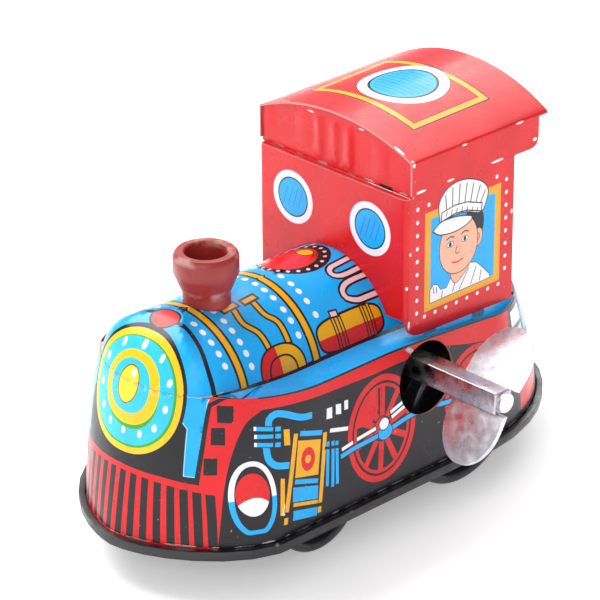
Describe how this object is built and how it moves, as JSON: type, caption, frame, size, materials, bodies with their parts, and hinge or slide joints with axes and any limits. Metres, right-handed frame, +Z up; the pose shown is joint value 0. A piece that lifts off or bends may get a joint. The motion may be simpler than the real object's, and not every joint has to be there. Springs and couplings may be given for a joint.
{
  "type": "tin clockwork toy locomotive",
  "caption": "Small lithographed tin clockwork locomotive: blue boiler, red cab with an arched roof, red chimney, black tray and wheels, and a folded winding key in the left side",
  "frame": {"origin": "on the floor, at the middle of the body's length and width, between the wheels", "axes": "+X is the train's left, the side with the key; the nose points to -Y; +Y runs from nose to cab; +Z is up"},
  "size_m": [0.0579, 0.0914, 0.0641],
  "materials": {
    "litho_tin": "gloss",
    "chimney_paint": "satin",
    "black_paint": "satin",
    "zinc": "satin",
    "steel": "satin",
    "plate_steel": "satin",
    "blued_steel": "satin",
    "brass": "satin"
  },
  "bodies": {
    "frame": {"body_shell": "litho_tin", "cab_shell": "litho_tin", "roof": "litho_tin", "chimney": "chimney_paint", "chimney_rivet": "zinc", "base_tray": "black_paint", "mainspring": "blued_steel", "spring_anchor": "steel", "motor_plate_left": "plate_steel", "motor_plate_right": "plate_steel", "motor_pillars": "steel", "pillar_nuts": "steel", "front_bracket": "plate_steel", "bracket_rivets": "zinc"},
    "key": {"key_tube": "zinc", "key_wings": "zinc", "key_rivet": "zinc", "winding_arbor": "steel", "ratchet_wheel": "brass"},
    "great": {"great_wheel": "brass", "click_pin": "steel", "click_spring": "steel"},
    "pawl": {"click": "steel"},
    "lay": {"lay_arbor": "steel", "lay_wheel": "brass", "lay_pinion": "brass"},
    "rear": {"rear_axle": "steel", "axle_pinion": "brass", "rear_wheel_left": "black_paint", "rear_wheel_right": "black_paint"},
    "front": {"front_axle": "steel", "front_wheel_left": "black_paint", "front_wheel_right": "black_paint"}
  },
  "joints": [
    {"name": "rear_axle_spin", "type": "hinge", "parent": "frame", "child": "rear", "pos_m": [0, 0.0157, 0.0124], "axis": [1, 0, 0], "continuous": true},
    {"name": "lay_spin", "type": "hinge", "parent": "frame", "child": "lay", "pos_m": [0, 0.01811, 0.02421], "axis": [1, 0, 0], "continuous": true},
    {"name": "great_wheel_spin", "type": "hinge", "parent": "frame", "child": "great", "pos_m": [0, 0.0043, 0.0253], "axis": [1, 0, 0], "continuous": true},
    {"name": "key_wind", "type": "hinge", "parent": "frame", "child": "key", "pos_m": [0, 0.0043, 0.0253], "axis": [1, 0, 0], "continuous": true},
    {"name": "click_pivot", "type": "hinge", "parent": "great", "child": "pawl", "pos_m": [0, 0.00774, 0.01808], "axis": [1, 0, 0], "range_deg": [0, 8]},
    {"name": "front_axle_spin", "type": "hinge", "parent": "frame", "child": "front", "pos_m": [0, -0.0162, 0.0088], "axis": [1, 0, 0], "continuous": true}
  ],
  "couplings": [
    {"joint": "lay_spin", "follows": "rear_axle_spin", "ratio": -0.42857},
    {"joint": "great_wheel_spin", "follows": "rear_axle_spin", "ratio": 0.11905}
  ]
}
